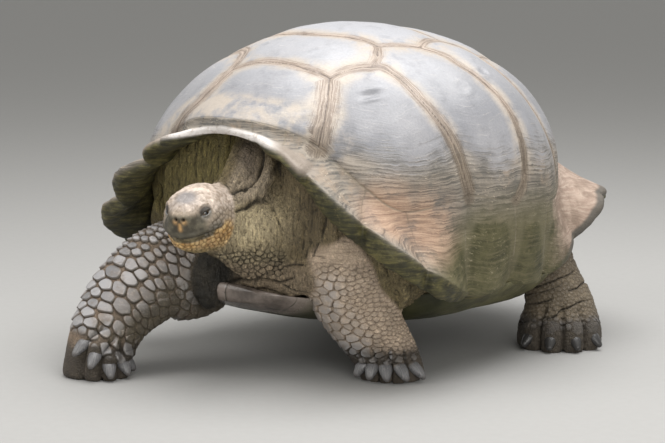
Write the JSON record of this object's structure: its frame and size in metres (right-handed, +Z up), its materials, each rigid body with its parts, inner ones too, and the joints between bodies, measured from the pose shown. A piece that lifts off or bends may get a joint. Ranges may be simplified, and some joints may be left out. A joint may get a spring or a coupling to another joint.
{
  "type": "giant tortoise",
  "caption": "Life-size still model of a domed giant tortoise in mid step, with a worn horn-plated shell, scaly legs and a half-raised head.",
  "frame": {"origin": "centre of the bounding box's bottom face, on the ground under the animal", "axes": "-Y is the way the animal faces, +X is its left, +Z is up"},
  "size_m": [0.859, 1.2706, 0.711],
  "materials": {
    "shell_horn": "worn, softly polished horn with tan seams",
    "belly_shell": "matte to satin horn",
    "scaly_skin": "dry, matte, with satin plates",
    "eye_surface": "wet gloss",
    "claw_horn": "worn satin horn"
  },
  "bodies": {
    "root": {"carapace": "shell_horn", "plastron": "belly_shell", "trunk": "scaly_skin", "neck": "scaly_skin", "tail": "scaly_skin", "head": "scaly_skin", "lower_jaw": "scaly_skin", "eye_left": "eye_surface", "eye_right": "eye_surface", "foreleg_left": "scaly_skin", "claw_foreleg_left_1": "claw_horn", "claw_foreleg_left_2": "claw_horn", "claw_foreleg_left_3": "claw_horn", "claw_foreleg_left_4": "claw_horn", "claw_foreleg_left_5": "claw_horn", "foreleg_right": "scaly_skin", "claw_foreleg_right_1": "claw_horn", "claw_foreleg_right_2": "claw_horn", "claw_foreleg_right_3": "claw_horn", "claw_foreleg_right_4": "claw_horn", "claw_foreleg_right_5": "claw_horn", "hindleg_left": "scaly_skin", "claw_hindleg_left_1": "claw_horn", "claw_hindleg_left_2": "claw_horn", "claw_hindleg_left_3": "claw_horn", "claw_hindleg_left_4": "claw_horn", "hindleg_right": "scaly_skin", "claw_hindleg_right_1": "claw_horn", "claw_hindleg_right_2": "claw_horn", "claw_hindleg_right_3": "claw_horn", "claw_hindleg_right_4": "claw_horn"}
  },
  "joints": []
}
